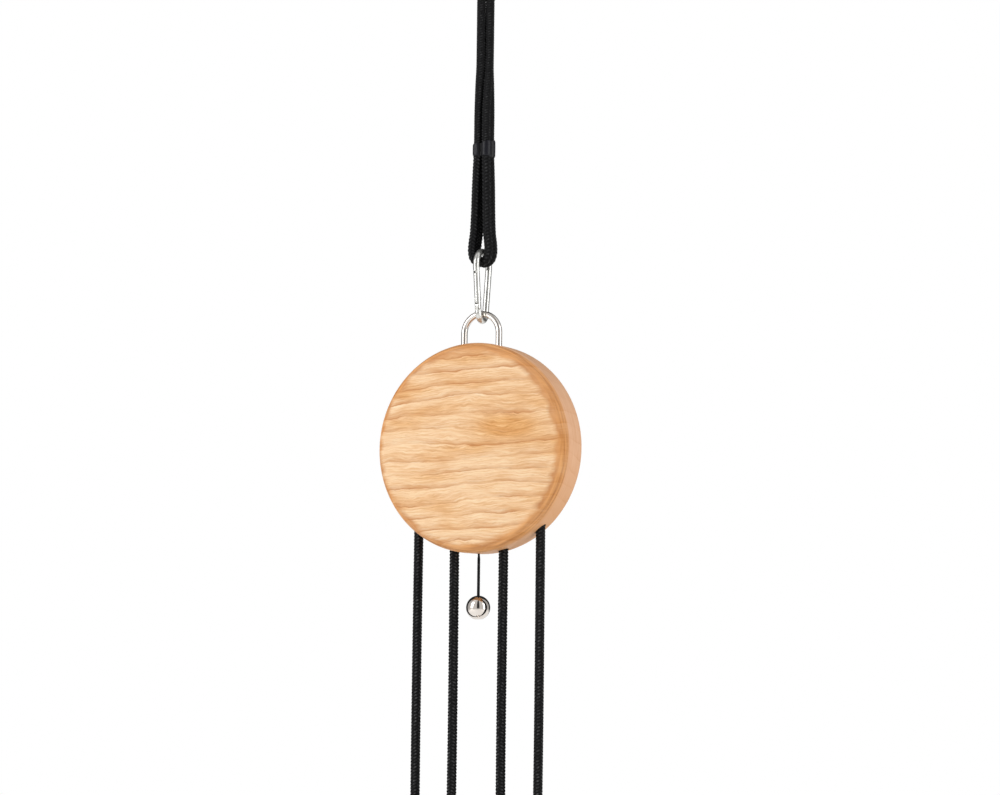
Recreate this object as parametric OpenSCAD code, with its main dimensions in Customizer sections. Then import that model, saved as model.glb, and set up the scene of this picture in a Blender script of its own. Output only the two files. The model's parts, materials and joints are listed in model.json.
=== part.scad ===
// Pulley head of a rope suspension trainer: a wooden disc housing with a rope
// sheave inside, hung on a rope sling from a ceiling plate, with two pull handles.
// +Z is up and -Y is the front. The origin is the middle of the ceiling plate's top face.

/* [Ceiling fitting] */
// Diameter of the ceiling plate
plate_d = 70; // [66:1:100]
// Thickness of the ceiling plate
plate_t = 6; // [5:0.5:10]
// Diameter of the circle through the four screw holes
plate_pcd = 50; // [46:1:56]
// Diameter of a screw hole
plate_hole_d = 5.5; // [4:0.1:6.5]
// Wire diameter of the ceiling eye
eye_wire_d = 7; // [5:0.5:8]
// Bend radius of the ceiling eye, to the middle of its wire
eye_bend_r = 15; // [14:0.5:18]
// Straight length of the eye's legs below the plate
eye_leg = 12; // [10:1:30]

/* [Rope sling] */
// Diameter of the sling rope
sling_rope_d = 7.5; // [5:0.5:8]
// Height from the eye's wire down to the snap hook's top wire
sling_drop = 265; // [240:5:400]
// Quarter spacing of the four rope parts in the bundle
bundle_half = 3.9; // [3.8:0.1:4.6]
// Wall of the bands round the bundle
band_wall = 0.6; // [0.5:0.1:2]
// Height of each band
band_h = 15; // [10:1:24]
// Turn of the bundle between its two bands, in degrees
sling_turn = 25; // [0:5:45]

/* [Snap hook] */
// Overall height of the snap hook
hook_h = 65; // [55:1:80]
// Wire diameter of the snap hook
hook_wire_d = 5.6; // [4.5:0.1:6.5]
// Bend radius at the foot of the hook, to the middle of its wire
hook_foot_r = 7.2; // [7:0.1:9]
// Bend radius at the head of the hook, to the middle of its wire
hook_head_r = 12.6; // [12:0.1:16]
// Diameter of the gate's hinge pin
gate_pin_d = 2; // [1.5:0.1:2.4]
// Thickness of the flat tang that the gate's fork straddles
gate_tang_t = 2.4; // [1.8:0.1:3]

/* [Wooden housing] */
// Diameter of the wooden disc
disc_d = 180; // [176:1:220]
// Thickness of the front wall
front_wall = 9; // [6:0.5:14]
// Depth of the hollow for the sheave
hollow_depth = 21; // [21:0.5:30]
// Thickness of the rear cover
cover_t = 5; // [4:0.5:8]
// Radius of the hollow
hollow_r = 74; // [73:0.5:78]
// Width of the ledge that the rear cover sits on
cover_ledge = 7; // [5:0.5:8]
// Rounding of the disc's front edge
front_round = 8; // [6:0.5:12]
// Rounding of the disc's rear edge
rear_round = 6; // [3:0.5:6]
// Number of screws in the rear cover
cover_screw_count = 6; // [4:1:8]

/* [Suspension bail] */
// Wire diameter of the bail
bail_wire_d = 5.5; // [4:0.1:6]
// Bend radius of the bail, to the middle of its wire
bail_bend_r = 16.4; // [14:0.1:17]
// Height of the bail's top wire above the disc's top edge
bail_rise = 26; // [22:1:40]

/* [Running rope and sheave] */
// Diameter of the running rope
rope_d = 8; // [6:0.5:8]
// Distance of the outer rope falls from the middle
outer_fall_x = 57.5; // [57:0.1:58]
// Distance of the inner rope falls from the middle
inner_fall_x = 23.2; // [22:0.1:24]
// Width of the sheave
sheave_w = 13; // [12:0.5:13]
// Depth from the rope's middle line to the sheave's outer edge
sheave_lip = 2.5; // [1:0.5:3]
// Bore of the ball bearing
bearing_bore_d = 12; // [10:0.5:12]
// Outer diameter of the ball bearing
bearing_outer_d = 28; // [28:0.5:34]
// Width of the ball bearing
bearing_w = 8; // [7:0.5:9]
// Thickness of each steel cheek plate
cheek_t = 1.5; // [1:0.1:1.8]
// Height of the yoke block
yoke_h = 8; // [6:0.5:8]

/* [Brake and pull] */
// Diameter of the brake rod
brake_rod_d = 4; // [3:0.1:4.4]
// Thickness of the brake pad under the sheave
pad_t = 2.5; // [2:0.1:3]
// Diameter of the pull cord
pull_cord_d = 2.2; // [1.5:0.1:2.4]
// Diameter of the pull ball
pull_ball_d = 20.6; // [18:0.2:26]

/* [Handles] */
// Depth of the handle pulleys' middle below the middle of the disc
handle_drop = 322; // [320:1:400]
// Width of a handle pulley
handle_pulley_w = 13; // [12:0.5:13]
// Length of a wooden grip
grip_l = 124; // [100:2:140]
// Diameter of a wooden grip at its middle
grip_d = 34; // [30:0.5:38]
// Height of the strap triangle
strap_h = 88; // [80:1:120]
// Width of the webbing strap
strap_w = 20; // [16:0.5:20]
// Thickness of the webbing strap
strap_t = 2; // [1.5:0.1:2.5]

/* [Hidden] */
$fn = 64;

// Clearances: running fits, parts let into each other, and soft parts beside hard ones
run_gap = 0.05;
seat_gap = 0.02;
soft_gap = 0.3;
wire_gap = 0.1;

// Heights, all worked down from the ceiling
eye_bend_z = -plate_t - eye_leg;
eye_wire_z = eye_bend_z - eye_bend_r;
hook_top_z = eye_wire_z - sling_drop;
hook_foot_wire_z = hook_top_z - (hook_h - hook_wire_d);
bail_wire_z = hook_foot_wire_z + hook_wire_d / 2 + bail_wire_d / 2 + wire_gap;
disc_r = disc_d / 2;
bail_top = disc_r + bail_rise;
disc_z = bail_wire_z - bail_top;

// The housing's layers, measured from the sheave's middle plane
hollow_half = hollow_depth / 2;
front_y = hollow_half + front_wall;
rear_y = hollow_half + cover_t;
cover_r = hollow_r + cover_ledge;
cover_screw_r = hollow_r + cover_ledge / 2;
cover_screw_d = 3;
cover_screw_head_d = 5.6;

// Snap hook, measured in its own plane from the foot bend's centre
hook_rise = hook_h - hook_wire_d - hook_foot_r - hook_head_r;
hook_lean = asin((hook_head_r - hook_foot_r) / hook_rise);
hook_side = hook_rise * cos(hook_lean);
hook_foot_z = hook_foot_wire_z + hook_foot_r;
hook_wire_r = hook_wire_d / 2;
gate_pin_at = 5.8;
gate_rivet_at = 11.8;
gate_top_at = hook_side - 3.2;
gate_r = hook_wire_r - 0.1;
gate_stud_r = 1.1;
rod_shy = 0.03;
rod_bite = 0.5;
gate_stud_l = 1.8;

// Sheave, bearing, cheeks and yoke, measured from the sheave's middle
rope_r = rope_d / 2;
sheave_r = outer_fall_x + sheave_lip;
sheave_half = sheave_w / 2;
groove_r = rope_r + 0.9;
hub_wall = 5;
web_half = 3;
rim_depth = 14;
race_space = 2.8;
race_t = (bearing_outer_d - bearing_bore_d) / 4 - race_space / 2;
ball_ring_r = (bearing_bore_d + bearing_outer_d) / 4;
ball_r = 2.2;
ball_count = 8;
cage_half_w = 0.7;
cheek_head_t = 1.2;
wall_gap = 0.2;
cheek_out = hollow_half - wall_gap - cheek_head_t;
cheek_in = cheek_out - cheek_t;
axle_r = bearing_bore_d / 2;
axle_head_r = axle_r + 3;
clip_t = 0.9;
yoke_half_x = 21;
yoke_z = outer_fall_x + rope_r + 0.8;
cheek_screw_x = 9;
wood_screw_x = 12;
wood_screw_z = 45;
wood_boss_r = 4;
leg_foot = 0.5;

// Rope stops, brake and pull
stop_wall = 1.75;
stop_floor = 74;
stop_h = 13;
pad_gap = 0.35;
pad_half_x = 9;
pad_half_y = 6;
shoe_t = 2.5;
shoe_z = -sheave_r - pad_gap - pad_t;
shoe_foot_z = shoe_z - shoe_t;
bush_flange_z = -74.2;
bush_flange_t = 1;
bush_wall = 1.8;
bush_foot_z = -86;
rod_foot_z = -88.5;
spring_wire_r = 0.4;
spring_r = brake_rod_d / 2 + 1;
spring_turns = 4;
pull_ball_z = -136;
knot_r = 2.8;

// Knob on the cord's top end, which turns in a socket in the rod's foot
knob_r = pull_cord_d / 2 + 0.7;
socket_r = knob_r + 0.65;
socket_up = 2.2;
socket_down = 0.8;
pull_hole_d = 2 * socket_r + 0.3;

// Handles, measured from the middle of a handle pulley
pulley_x = (outer_fall_x + inner_fall_x) / 2;
pulley_pitch_r = (outer_fall_x - inner_fall_x) / 2;
pulley_r = pulley_pitch_r + 1.5;
pulley_half = handle_pulley_w / 2;
pulley_pin_r = 3;
bracket_in = pulley_half + 0.7;
bracket_t = 2.5;
bracket_out = bracket_in + bracket_t;
bracket_half_x = 9;
web_top = -(pulley_pitch_r + rope_r + 2.35);
web_t = 4;
ring_wire_r = 2.2;
ring_half_x = strap_w / 2 + ring_wire_r + 0.8;
ring_bend_r = 4;
ring_bar_z = web_top - 16.5;
strap_in = ring_wire_r + soft_gap;
sleeve_flange_t = 1.5;
strap_half_y = grip_l / 2 + sleeve_flange_t + 7.5;
strap_foot_z = ring_bar_z - strap_h;
grip_z = strap_foot_z - strap_in - strap_t / 2;
sleeve_bore_r = strap_w / 2 + 0.5;
sleeve_r = sleeve_bore_r + 1.4;
sleeve_flange_r = sleeve_r + 2.6;
grip_crown = 2;

// Sling rope route: half of one rope, on the side x > 0, before the bundle turns.
// Each point is [x, y towards the outside of the bundle, z].
SLING_LOWER = [
    [0, 4.3, -307.2], [5.3, 4.3, -305], [7.6, 4.3, -299], [7.4, 4.3, -291], [6.2, 4.2, -282],
    [5.4, 4.1, -264], [5, 4, -244], [4.4, 3.9, -227], [3.9, 3.9, -216]
];
SLING_UPPER = [
    [3.9, 3.9, -200], [3.9, 3.9, -178], [3.9, 3.9, -155], [3.9, 3.9, -135],
    [3.9, 3.9, -75], [3.9, 3.9, -61], [5.8, 3.9, -47], [8.2, 3.9, -33],
    [5.8, 3.9, -26.7], [0, 3.9, -24.3]
];
SLING_START = [-3.9, 3.9, -208.4];
SLING_END = [-3.9, 3.9, -208.1];
turn_low_z = -200;
turn_high_z = -135;
band_low_z = -208.2;
band_high_z = -69.7;

// Running rope routes, measured from the middle of the disc
RIGHT_ROUTE = [
    [23.2, 0, -61], [23.2, 0, -322], [25.5, 0, -330.6], [31.8, 0, -336.9], [40.4, 0, -339.2],
    [48.9, 0, -336.9], [55.2, 0, -330.6], [57.5, 0, -322], [57.5, 0, -4]
];
SHEAVE_ROUTE = [
    [57.5, 0, -4], [57.5, 0, 0], [55.5, 0, 15], [49.8, 0, 28.8], [40.7, 0, 40.7], [28.8, 0, 49.8],
    [15, 0, 55.5], [0, 0, 57.5], [-15, 0, 55.5], [-28.8, 0, 49.8], [-40.7, 0, 40.7],
    [-49.8, 0, 28.8], [-55.5, 0, 15], [-57.5, 0, 0], [-57.5, 0, -4]
];
PULL_ROUTE = [[0, 0, -89.1], [0, 0, -112], [0, 0, -140]];

// Colours
steel = "silver";
wood = "burlywood";
rope_black = [0.1, 0.1, 0.11];
nylon = "gainsboro";

// ---- Geometry helpers ----

function unit(v) = v / norm(v);
function flip_x(points) = [for (p = points) [-p[0], p[1], p[2]]];
function flip_y(points) = [for (p = points) [p[0], -p[1], p[2]]];
function backwards(points) = [for (i = [len(points) - 1:-1:0]) points[i]];

// Direction of a route at its point i
function heading(p, i) =
    i == 0 ? unit(p[1] - p[0]) :
    i == len(p) - 1 ? unit(p[i] - p[i - 1]) :
    unit(unit(p[i] - p[i - 1]) + unit(p[i + 1] - p[i]));

// One ring of a tube: `side` is a direction that the route never points along
function tube_ring(p, i, r, sides, side) =
    let (t = heading(p, i), u = unit(cross(side, t)), v = cross(t, u))
    [for (k = [0:sides - 1]) p[i] + r * (cos(360 * k / sides) * u + sin(360 * k / sides) * v)];

// A tube swept along the points of a route, closed by a flat face at each end
module tube(p, r, side, sides = 10) {
    n = len(p);
    points = [for (i = [0:n - 1]) each tube_ring(p, i, r, sides, side)];
    walls = [
        for (i = [0:n - 2], k = [0:sides - 1])
            [i * sides + k, i * sides + (k + 1) % sides,
             (i + 1) * sides + (k + 1) % sides, (i + 1) * sides + k]
    ];
    start = [for (k = [sides - 1:-1:0]) k];
    end = [for (k = [0:sides - 1]) (n - 1) * sides + k];
    polyhedron(points, concat([start], [for (w = walls) w], [end]), convexity = 8);
}

// Points of an arc in the plane
function arc(c, r, from, to, steps) =
    [for (k = [0:steps]) let (a = from + (to - from) * k / steps) c + r * [cos(a), sin(a)]];

// A square with rounded corners, given by half its width
function round_square(half, r) =
    [for (q = [0:3]) each arc(
        (half - r) * [sign(cos(45 + 90 * q)), sign(sin(45 + 90 * q))], r, 90 * q, 90 * q + 90, 8)];

// Outline of a triangle (anticlockwise) grown by r, with round corners
function grown_triangle(t, r) =
    [for (i = [0:2])
        let (before = t[i] - t[(i + 2) % 3], after = t[(i + 1) % 3] - t[i],
             a0 = atan2(before[1], before[0]) - 90, a1 = atan2(after[1], after[0]) - 90)
        each arc(t[i], r, a0, a1 < a0 ? a1 + 360 : a1, 8)];

// Stands a shape drawn in XY up in the YZ plane (X to Y, Y to Z)
module in_yz() rotate([90, 0, 90]) children();

// Stands a shape drawn in XY up in the XZ plane, its +Z facing the front
module in_xz() rotate([90, 0, 0]) children();

// Places a shape of the housing at the middle of the disc
module at_disc() translate([0, 0, disc_z]) children();

// Places a shape drawn round Z at the middle of the disc, its +Z facing the front
module on_disc_axis() at_disc() in_xz() children();

// A bent wire: an arc of a ring in the XY plane
module wire_arc(bend_r, wire_r, from, sweep) {
    rotate([0, 0, from]) rotate_extrude(angle = sweep, $fn = 96)
        translate([bend_r, 0]) circle(r = wire_r, $fn = 40);
}

// A ring of revolution between two radii, centred on the XY plane
module ring(outer, inner, h) {
    difference() {
        cylinder(r = outer, h = h, center = true);
        cylinder(r = inner, h = h + 2, center = true);
    }
}

// A countersunk screw pointing along -Z, its head flush with z = 0
module countersunk_screw(shank_r, head_r, length) {
    head_h = head_r - shank_r;
    difference() {
        union() {
            translate([0, 0, -head_h]) cylinder(r1 = shank_r, r2 = head_r, h = head_h);
            translate([0, 0, -length]) cylinder(r = shank_r, h = length - head_h);
        }
        for (a = [0, 90]) rotate([0, 0, a]) cube([head_r * 1.1, 0.6, head_h], center = true);
    }
}

// The hole that a countersunk screw sits in
module countersunk_hole(shank_r, head_r, length) {
    head_h = head_r - shank_r;
    translate([0, 0, -head_h]) cylinder(r1 = shank_r, r2 = head_r, h = head_h);
    translate([0, 0, -0.001]) cylinder(r = head_r, h = 1);
    translate([0, 0, -length]) cylinder(r = shank_r, h = length);
}

// ---- Ceiling fitting ----

module ceiling_plate() color(steel) difference() {
    translate([0, 0, -plate_t]) rotate_extrude()
        polygon([[0, 0], [plate_d / 2 - 1.5, 0], [plate_d / 2, 1.5], [plate_d / 2, plate_t], [0, plate_t]]);
    for (a = [45:90:315]) rotate([0, 0, a + sling_turn]) translate([plate_pcd / 2, 0, -plate_t]) {
        translate([0, 0, -1]) cylinder(d = plate_hole_d, h = plate_t + 2);
        translate([0, 0, -0.01]) cylinder(d1 = plate_hole_d + 5, d2 = plate_hole_d, h = 2.5);
    }
    rotate([0, 0, sling_turn]) for (s = [-1, 1]) translate([0, s * eye_bend_r, -plate_t - 1])
        cylinder(d = eye_wire_d + 2 * seat_gap, h = plate_t + 2);
}

module ceiling_eye() color(steel) rotate([0, 0, sling_turn]) {
    translate([0, 0, eye_bend_z]) in_yz() wire_arc(eye_bend_r, eye_wire_d / 2, 180, 180);
    for (s = [-1, 1]) translate([0, s * eye_bend_r, eye_bend_z])
        cylinder(d = eye_wire_d, h = eye_leg + plate_t - 0.5, $fn = 40);
}

// ---- Rope sling ----

// Turn of the bundle at height z, easing in and out between the two bands
function turn_at(z) =
    let (t = min(1, max(0, (z - turn_low_z) / (turn_high_z - turn_low_z))))
    sling_turn * t * t * (3 - 2 * t);
function turned(p) =
    let (a = turn_at(p[2]))
    [p[0] * cos(a) - p[1] * sin(a), p[0] * sin(a) + p[1] * cos(a), p[2]];
function sling_loop(flip) =
    let (route = concat(
        [SLING_START], backwards(flip_x(SLING_LOWER)),
        [for (i = [1:len(SLING_LOWER) - 1]) SLING_LOWER[i]],
        SLING_UPPER,
        [for (i = [len(SLING_UPPER) - 2:-1:0]) flip_x(SLING_UPPER)[i]],
        [SLING_END]))
    [for (p = (flip ? flip_y(route) : route)) turned(p)];

// The side vector leans with the turned bundle, so that it is never along the rope
sling_side = [-sin(sling_turn / 2), cos(sling_turn / 2), 0];

module sling_rope_front() color(rope_black) tube(sling_loop(true), sling_rope_d / 2, sling_side);
module sling_rope_rear() color(rope_black) tube(sling_loop(false), sling_rope_d / 2, sling_side);

module sling_band(z, turn) {
    inner_r = sling_rope_d / 2 + 0.1;
    inner = bundle_half + inner_r;
    translate([0, 0, z - band_h / 2]) rotate([0, 0, turn]) linear_extrude(band_h) difference() {
        polygon(round_square(inner + band_wall, inner_r + band_wall));
        polygon(round_square(inner, inner_r));
    }
}
module sling_band_lower() color("midnightblue") sling_band(band_low_z, 0);
module sling_band_upper() color("midnightblue") sling_band(band_high_z, sling_turn);

// ---- Snap hook ----

// Places children on the gate's line: z runs up it from the foot bend
module on_gate_line() {
    translate([0, -hook_foot_r * cos(hook_lean), hook_foot_z - hook_foot_r * sin(hook_lean)])
        rotate([hook_lean, 0, 0]) children();
}

// A short rod across the hook, at a distance up the gate's line
module across_gate(at, r, length) {
    on_gate_line() translate([0, 0, at]) rotate([0, 90, 0])
        cylinder(r = r, h = length, center = true, $fn = 32);
}

// A straight stretch of the hook's wire up the gate's line. It is a hair thinner than
// the bends and bites a little way into them, so that the surfaces cross cleanly.
module hook_rod(from, to) {
    translate([0, 0, from]) cylinder(r = hook_wire_r - rod_shy, h = to - from, $fn = 40);
}

module hook_body() color(steel) difference() {
    union() {
        translate([0, 0, hook_foot_z]) in_yz() {
            wire_arc(hook_foot_r, hook_wire_r, 180 + hook_lean, 180 - 2 * hook_lean);
            translate([0, hook_rise]) wire_arc(hook_head_r, hook_wire_r, -hook_lean, 180 + 2 * hook_lean);
        }
        mirror([0, 1, 0]) on_gate_line() hook_rod(-rod_bite, hook_side + rod_bite);
        on_gate_line() {
            hook_rod(-rod_bite, gate_pin_at - gate_r - 0.3);
            hook_rod(gate_top_at + 0.3, hook_side + rod_bite);
            translate([0, 0, gate_top_at - gate_stud_l])
                cylinder(r = gate_stud_r, h = gate_stud_l + 1, $fn = 32);
            translate([-gate_tang_t / 2, -gate_r, 1]) cube([gate_tang_t, 2 * gate_r, gate_pin_at - 1]);
        }
        across_gate(gate_pin_at, gate_r, gate_tang_t);
    }
    across_gate(gate_pin_at, gate_pin_d / 2 + seat_gap, hook_wire_d);
}

module gate_pin() color(steel) across_gate(gate_pin_at, gate_pin_d / 2, 2 * gate_r - 0.6);

module hook_gate() color(steel) difference() {
    union() {
        on_gate_line() translate([0, 0, gate_pin_at])
            cylinder(r = gate_r, h = gate_top_at - gate_pin_at, $fn = 40);
        intersection() {
            on_gate_line() cylinder(r = gate_r, h = gate_pin_at + 1, $fn = 40);
            across_gate(gate_pin_at, gate_r, hook_wire_d);
        }
    }
    on_gate_line() {
        slot = gate_tang_t + 2 * run_gap;
        translate([-slot / 2, -gate_r - 1, 0]) cube([slot, 2 * gate_r + 2, gate_pin_at + gate_r + 0.2]);
        key = 2 * (gate_stud_r + 0.15);
        translate([0, 0, gate_top_at - gate_stud_l - 0.3]) {
            cylinder(d = key, h = gate_stud_l + 1, $fn = 32);
            translate([-key / 2, -gate_r - 1, 0]) cube([key, gate_r + 1, gate_stud_l + 1]);
        }
    }
    across_gate(gate_pin_at, gate_pin_d / 2 + run_gap, hook_wire_d);
    across_gate(gate_rivet_at, gate_pin_d / 2 + seat_gap, hook_wire_d);
}

module gate_rivet() color(steel) across_gate(gate_rivet_at, gate_pin_d / 2, 2 * gate_r + 0.4);

// ---- Wooden housing ----

// The outer half of a rounded edge's circle, its middle at height z of the disc's outline
module edge_half(r, z) {
    translate([disc_r - r, z]) intersection() {
        circle(r = r);
        translate([-seat_gap, -r]) square([r + seat_gap, 2 * r]);
    }
}

module disc_blank() {
    thick = front_y + rear_y;
    translate([0, 0, -rear_y]) rotate_extrude($fn = 180) union() {
        square([disc_r - front_round, thick]);
        square([disc_r - rear_round, thick / 2]);
        translate([0, rear_round]) square([disc_r, thick - rear_round - front_round]);
        edge_half(rear_round, rear_round);
        edge_half(front_round, thick - front_round);
    }
}

module fall_hole(x, top) {
    translate([x, 0, -disc_r - 5]) cylinder(r = rope_r + 0.6, h = disc_r + 5 + top);
}

module each_cover_screw() {
    for (k = [0:cover_screw_count - 1]) rotate([0, 0, 360 * k / cover_screw_count])
        translate([cover_screw_r, 0, -rear_y]) mirror([0, 0, 1]) children();
}

// Places children at the two screws through the front cheek, their -Z into the front wall
module each_wood_screw() {
    for (s = [-1, 1]) translate([s * wood_screw_x, wood_screw_z, cheek_in]) mirror([0, 0, 1]) children();
}

module housing_cup() color(wood) {
    difference() {
        on_disc_axis() disc_blank();
        on_disc_axis() {
            translate([0, 0, -rear_y - 1]) cylinder(r = hollow_r, h = rear_y + 1 + hollow_half, $fn = 180);
            translate([0, 0, -rear_y - 1]) cylinder(r = cover_r, h = cover_t + 1, $fn = 180);
            each_cover_screw() translate([0, 0, -13]) cylinder(d = cover_screw_d, h = 12);
            each_wood_screw() translate([0, 0, -9.5]) cylinder(d = cover_screw_d, h = 9.5);
        }
        at_disc() {
            for (s = [-1, 1]) {
                fall_hole(s * outer_fall_x, -30);
                fall_hole(s * inner_fall_x, -60);
                translate([s * inner_fall_x, 0, -stop_floor])
                    cylinder(r = rope_r + stop_wall + 0.2, h = stop_h);
                translate([s * bail_bend_r, 0, hollow_r - 8])
                    cylinder(d = bail_wire_d + 2 * run_gap, h = disc_r - hollow_r + 16);
            }
            translate([0, 0, -disc_r - 5]) cylinder(d = pull_hole_d, h = disc_r - hollow_r + 10);
            translate([0, 0, bush_foot_z])
                cylinder(r = brake_rod_d / 2 + bush_wall + seat_gap, h = 20);
            translate([0, 0, bush_flange_z])
                cylinder(r = brake_rod_d / 2 + bush_wall + 1.5, h = 5);
        }
    }
    on_disc_axis() each_wood_screw() difference() {
        translate([0, 0, -hollow_half + cheek_in]) cylinder(r = wood_boss_r, h = hollow_half - cheek_out);
        translate([0, 0, -9.5]) cylinder(d = cover_screw_d, h = 9.5);
    }
}

module rear_cover() color(wood) on_disc_axis() difference() {
    translate([0, 0, -rear_y]) cylinder(r = cover_r - 0.15, h = cover_t, $fn = 180);
    each_cover_screw()
        countersunk_hole(cover_screw_d / 2 + 0.1, cover_screw_head_d / 2 + 0.1, cover_t + 1);
}

module cover_screws() color(steel) on_disc_axis() each_cover_screw()
    countersunk_screw(cover_screw_d / 2 - seat_gap, cover_screw_head_d / 2, cover_t + 7);

// ---- Bail, yoke and cheeks ----

module suspension_bail() color(steel) at_disc() {
    translate([0, 0, bail_top - bail_bend_r]) in_xz()
        wire_arc(bail_bend_r, bail_wire_d / 2, 0, 180);
    for (s = [-1, 1]) translate([s * bail_bend_r, 0, yoke_z + leg_foot])
        cylinder(d = bail_wire_d, h = bail_top - bail_bend_r - yoke_z - leg_foot, $fn = 40);
}

module yoke_block() color(steel) at_disc() difference() {
    translate([-yoke_half_x, -cheek_in, yoke_z]) cube([2 * yoke_half_x, 2 * cheek_in, yoke_h]);
    for (s = [-1, 1]) {
        translate([s * bail_bend_r, 0, yoke_z - 1])
            cylinder(d = bail_wire_d + 2 * seat_gap, h = yoke_h + 2);
        translate([s * cheek_screw_x, 0, yoke_z + yoke_h / 2]) rotate([90, 0, 0])
            cylinder(r = 2, h = 40, center = true);
    }
}

module cheek() linear_extrude(cheek_t) difference() {
    union() {
        circle(r = 14);
        polygon([[-13.6, 3], [13.6, 3], [yoke_half_x, 58], [yoke_half_x, yoke_z + yoke_h],
                 [-yoke_half_x, yoke_z + yoke_h], [-yoke_half_x, 58]]);
    }
    circle(r = axle_r + seat_gap);
    for (s = [-1, 1]) translate([s * cheek_screw_x, yoke_z + yoke_h / 2]) circle(r = 2.05);
}

module front_cheek() color(steel) on_disc_axis() difference() {
    translate([0, 0, cheek_in]) cheek();
    each_wood_screw() countersunk_hole(cover_screw_d / 2 + 0.05, cover_screw_head_d / 2 + 0.05, 3);
}
module rear_cheek() color(steel) on_disc_axis() translate([0, 0, -cheek_out]) cheek();

module cheek_screws() color(steel) on_disc_axis()
    for (s = [-1, 1], f = [0, 1]) mirror([0, 0, f])
        translate([s * cheek_screw_x, yoke_z + yoke_h / 2, 0]) {
            translate([0, 0, cheek_out]) difference() {
                cylinder(r = 3.4, h = cheek_head_t);
                translate([0, 0, 0.5]) cylinder(r = 1.6, h = 2, $fn = 6);
            }
            translate([0, 0, 2]) cylinder(r = 2 - seat_gap, h = cheek_out - 2);
        }

module cheek_wood_screws() color(steel) on_disc_axis() each_wood_screw()
    countersunk_screw(cover_screw_d / 2 - seat_gap, cover_screw_head_d / 2, 9);

// ---- Axle, bearing and sheave ----

module axle() color(steel) on_disc_axis() {
    translate([0, 0, cheek_out]) cylinder(r = axle_head_r, h = cheek_head_t);
    difference() {
        translate([0, 0, -hollow_half + wall_gap])
            cylinder(r = axle_r, h = cheek_out + hollow_half - wall_gap);
        translate([0, 0, -cheek_out - clip_t / 2]) ring(axle_r + 2, axle_r - 0.8, clip_t);
    }
}

module axle_clip() color(steel) on_disc_axis() translate([0, 0, -cheek_out - clip_t / 2]) difference() {
    ring(axle_r + 2.5, axle_r - 0.75, clip_t - 0.04);
    translate([0, -axle_r - 2, 0]) cube([axle_r, 8, 2], center = true);
}

module axle_spacers() color(steel) on_disc_axis()
    for (s = [-1, 1]) translate([0, 0, s * (cheek_in + bearing_w / 2) / 2])
        ring(axle_r + race_t - 0.2, axle_r + seat_gap, cheek_in - bearing_w / 2);

module race(outer, inner) rotate_extrude() difference() {
    translate([inner, -bearing_w / 2]) square([outer - inner, bearing_w]);
    translate([ball_ring_r, 0]) circle(r = ball_r + run_gap);
}
module bearing_inner_race() color(steel) on_disc_axis() race(axle_r + race_t, axle_r + seat_gap);
module bearing_outer_race() color(steel) on_disc_axis()
    race(bearing_outer_d / 2, bearing_outer_d / 2 - race_t);

module each_ball() {
    for (k = [0:ball_count - 1]) rotate([0, 0, 360 * k / ball_count])
        translate([ball_ring_r, 0, 0]) children();
}
module bearing_balls() color(steel) on_disc_axis() each_ball() sphere(r = ball_r, $fn = 32);
module ball_cage() color("darkgoldenrod") on_disc_axis() difference() {
    ring(ball_ring_r + cage_half_w, ball_ring_r - cage_half_w, bearing_w - 1.6);
    each_ball() rotate([0, 90, 0]) cylinder(r = ball_r + 2 * run_gap, h = 4, center = true);
}

module sheave() color("dimgray") on_disc_axis() difference() {
    rotate_extrude($fn = 128) difference() {
        hub_in = bearing_outer_d / 2 + seat_gap;
        union() {
            translate([hub_in, -sheave_half]) square([hub_wall, sheave_w]);
            translate([hub_in, -web_half]) square([sheave_r - rim_depth - hub_in + 1, 2 * web_half]);
            translate([sheave_r - rim_depth, -sheave_half]) square([rim_depth, sheave_w]);
        }
        translate([outer_fall_x, 0]) circle(r = groove_r);
    }
    for (k = [0:5]) rotate([0, 0, 60 * k + 30]) translate([32.5, 0, -10]) cylinder(r = 9, h = 20);
}

// ---- Running rope ----

module rope_over_sheave() color(rope_black) at_disc() tube(SHEAVE_ROUTE, rope_r, [0, 1, 0], 12);
module right_rope() color(rope_black) at_disc() tube(RIGHT_ROUTE, rope_r, [0, 1, 0], 12);
module left_rope() color(rope_black) at_disc() tube(flip_x(RIGHT_ROUTE), rope_r, [0, 1, 0], 12);

module rope_stops() color(steel) at_disc()
    for (s = [-1, 1]) translate([s * inner_fall_x, 0, -stop_floor + stop_h / 2])
        ring(rope_r + stop_wall, rope_r + run_gap, stop_h);

// ---- Brake and pull ----

module brake_pad() color("saddlebrown") at_disc() difference() {
    translate([-pad_half_x, -pad_half_y, shoe_z]) cube([2 * pad_half_x, 2 * pad_half_y, pad_t + 2]);
    rotate([90, 0, 0]) cylinder(r = sheave_r + pad_gap, h = 40, center = true, $fn = 180);
}

module brake_shoe() color(steel) at_disc() difference() {
    translate([-pad_half_x, -pad_half_y, shoe_foot_z]) cube([2 * pad_half_x, 2 * pad_half_y, shoe_t]);
    translate([0, 0, shoe_foot_z - 1]) cylinder(d = brake_rod_d + 2 * seat_gap, h = shoe_t);
}

module brake_rod() color(steel) at_disc() difference() {
    union() {
        translate([0, 0, rod_foot_z])
            cylinder(d = brake_rod_d, h = shoe_foot_z + shoe_t - 1 - rod_foot_z);
        translate([0, 0, rod_foot_z - socket_down]) cylinder(r = socket_r, h = socket_up + socket_down);
    }
    translate([0, 0, rod_foot_z]) sphere(r = knob_r + run_gap, $fn = 48);
}

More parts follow.
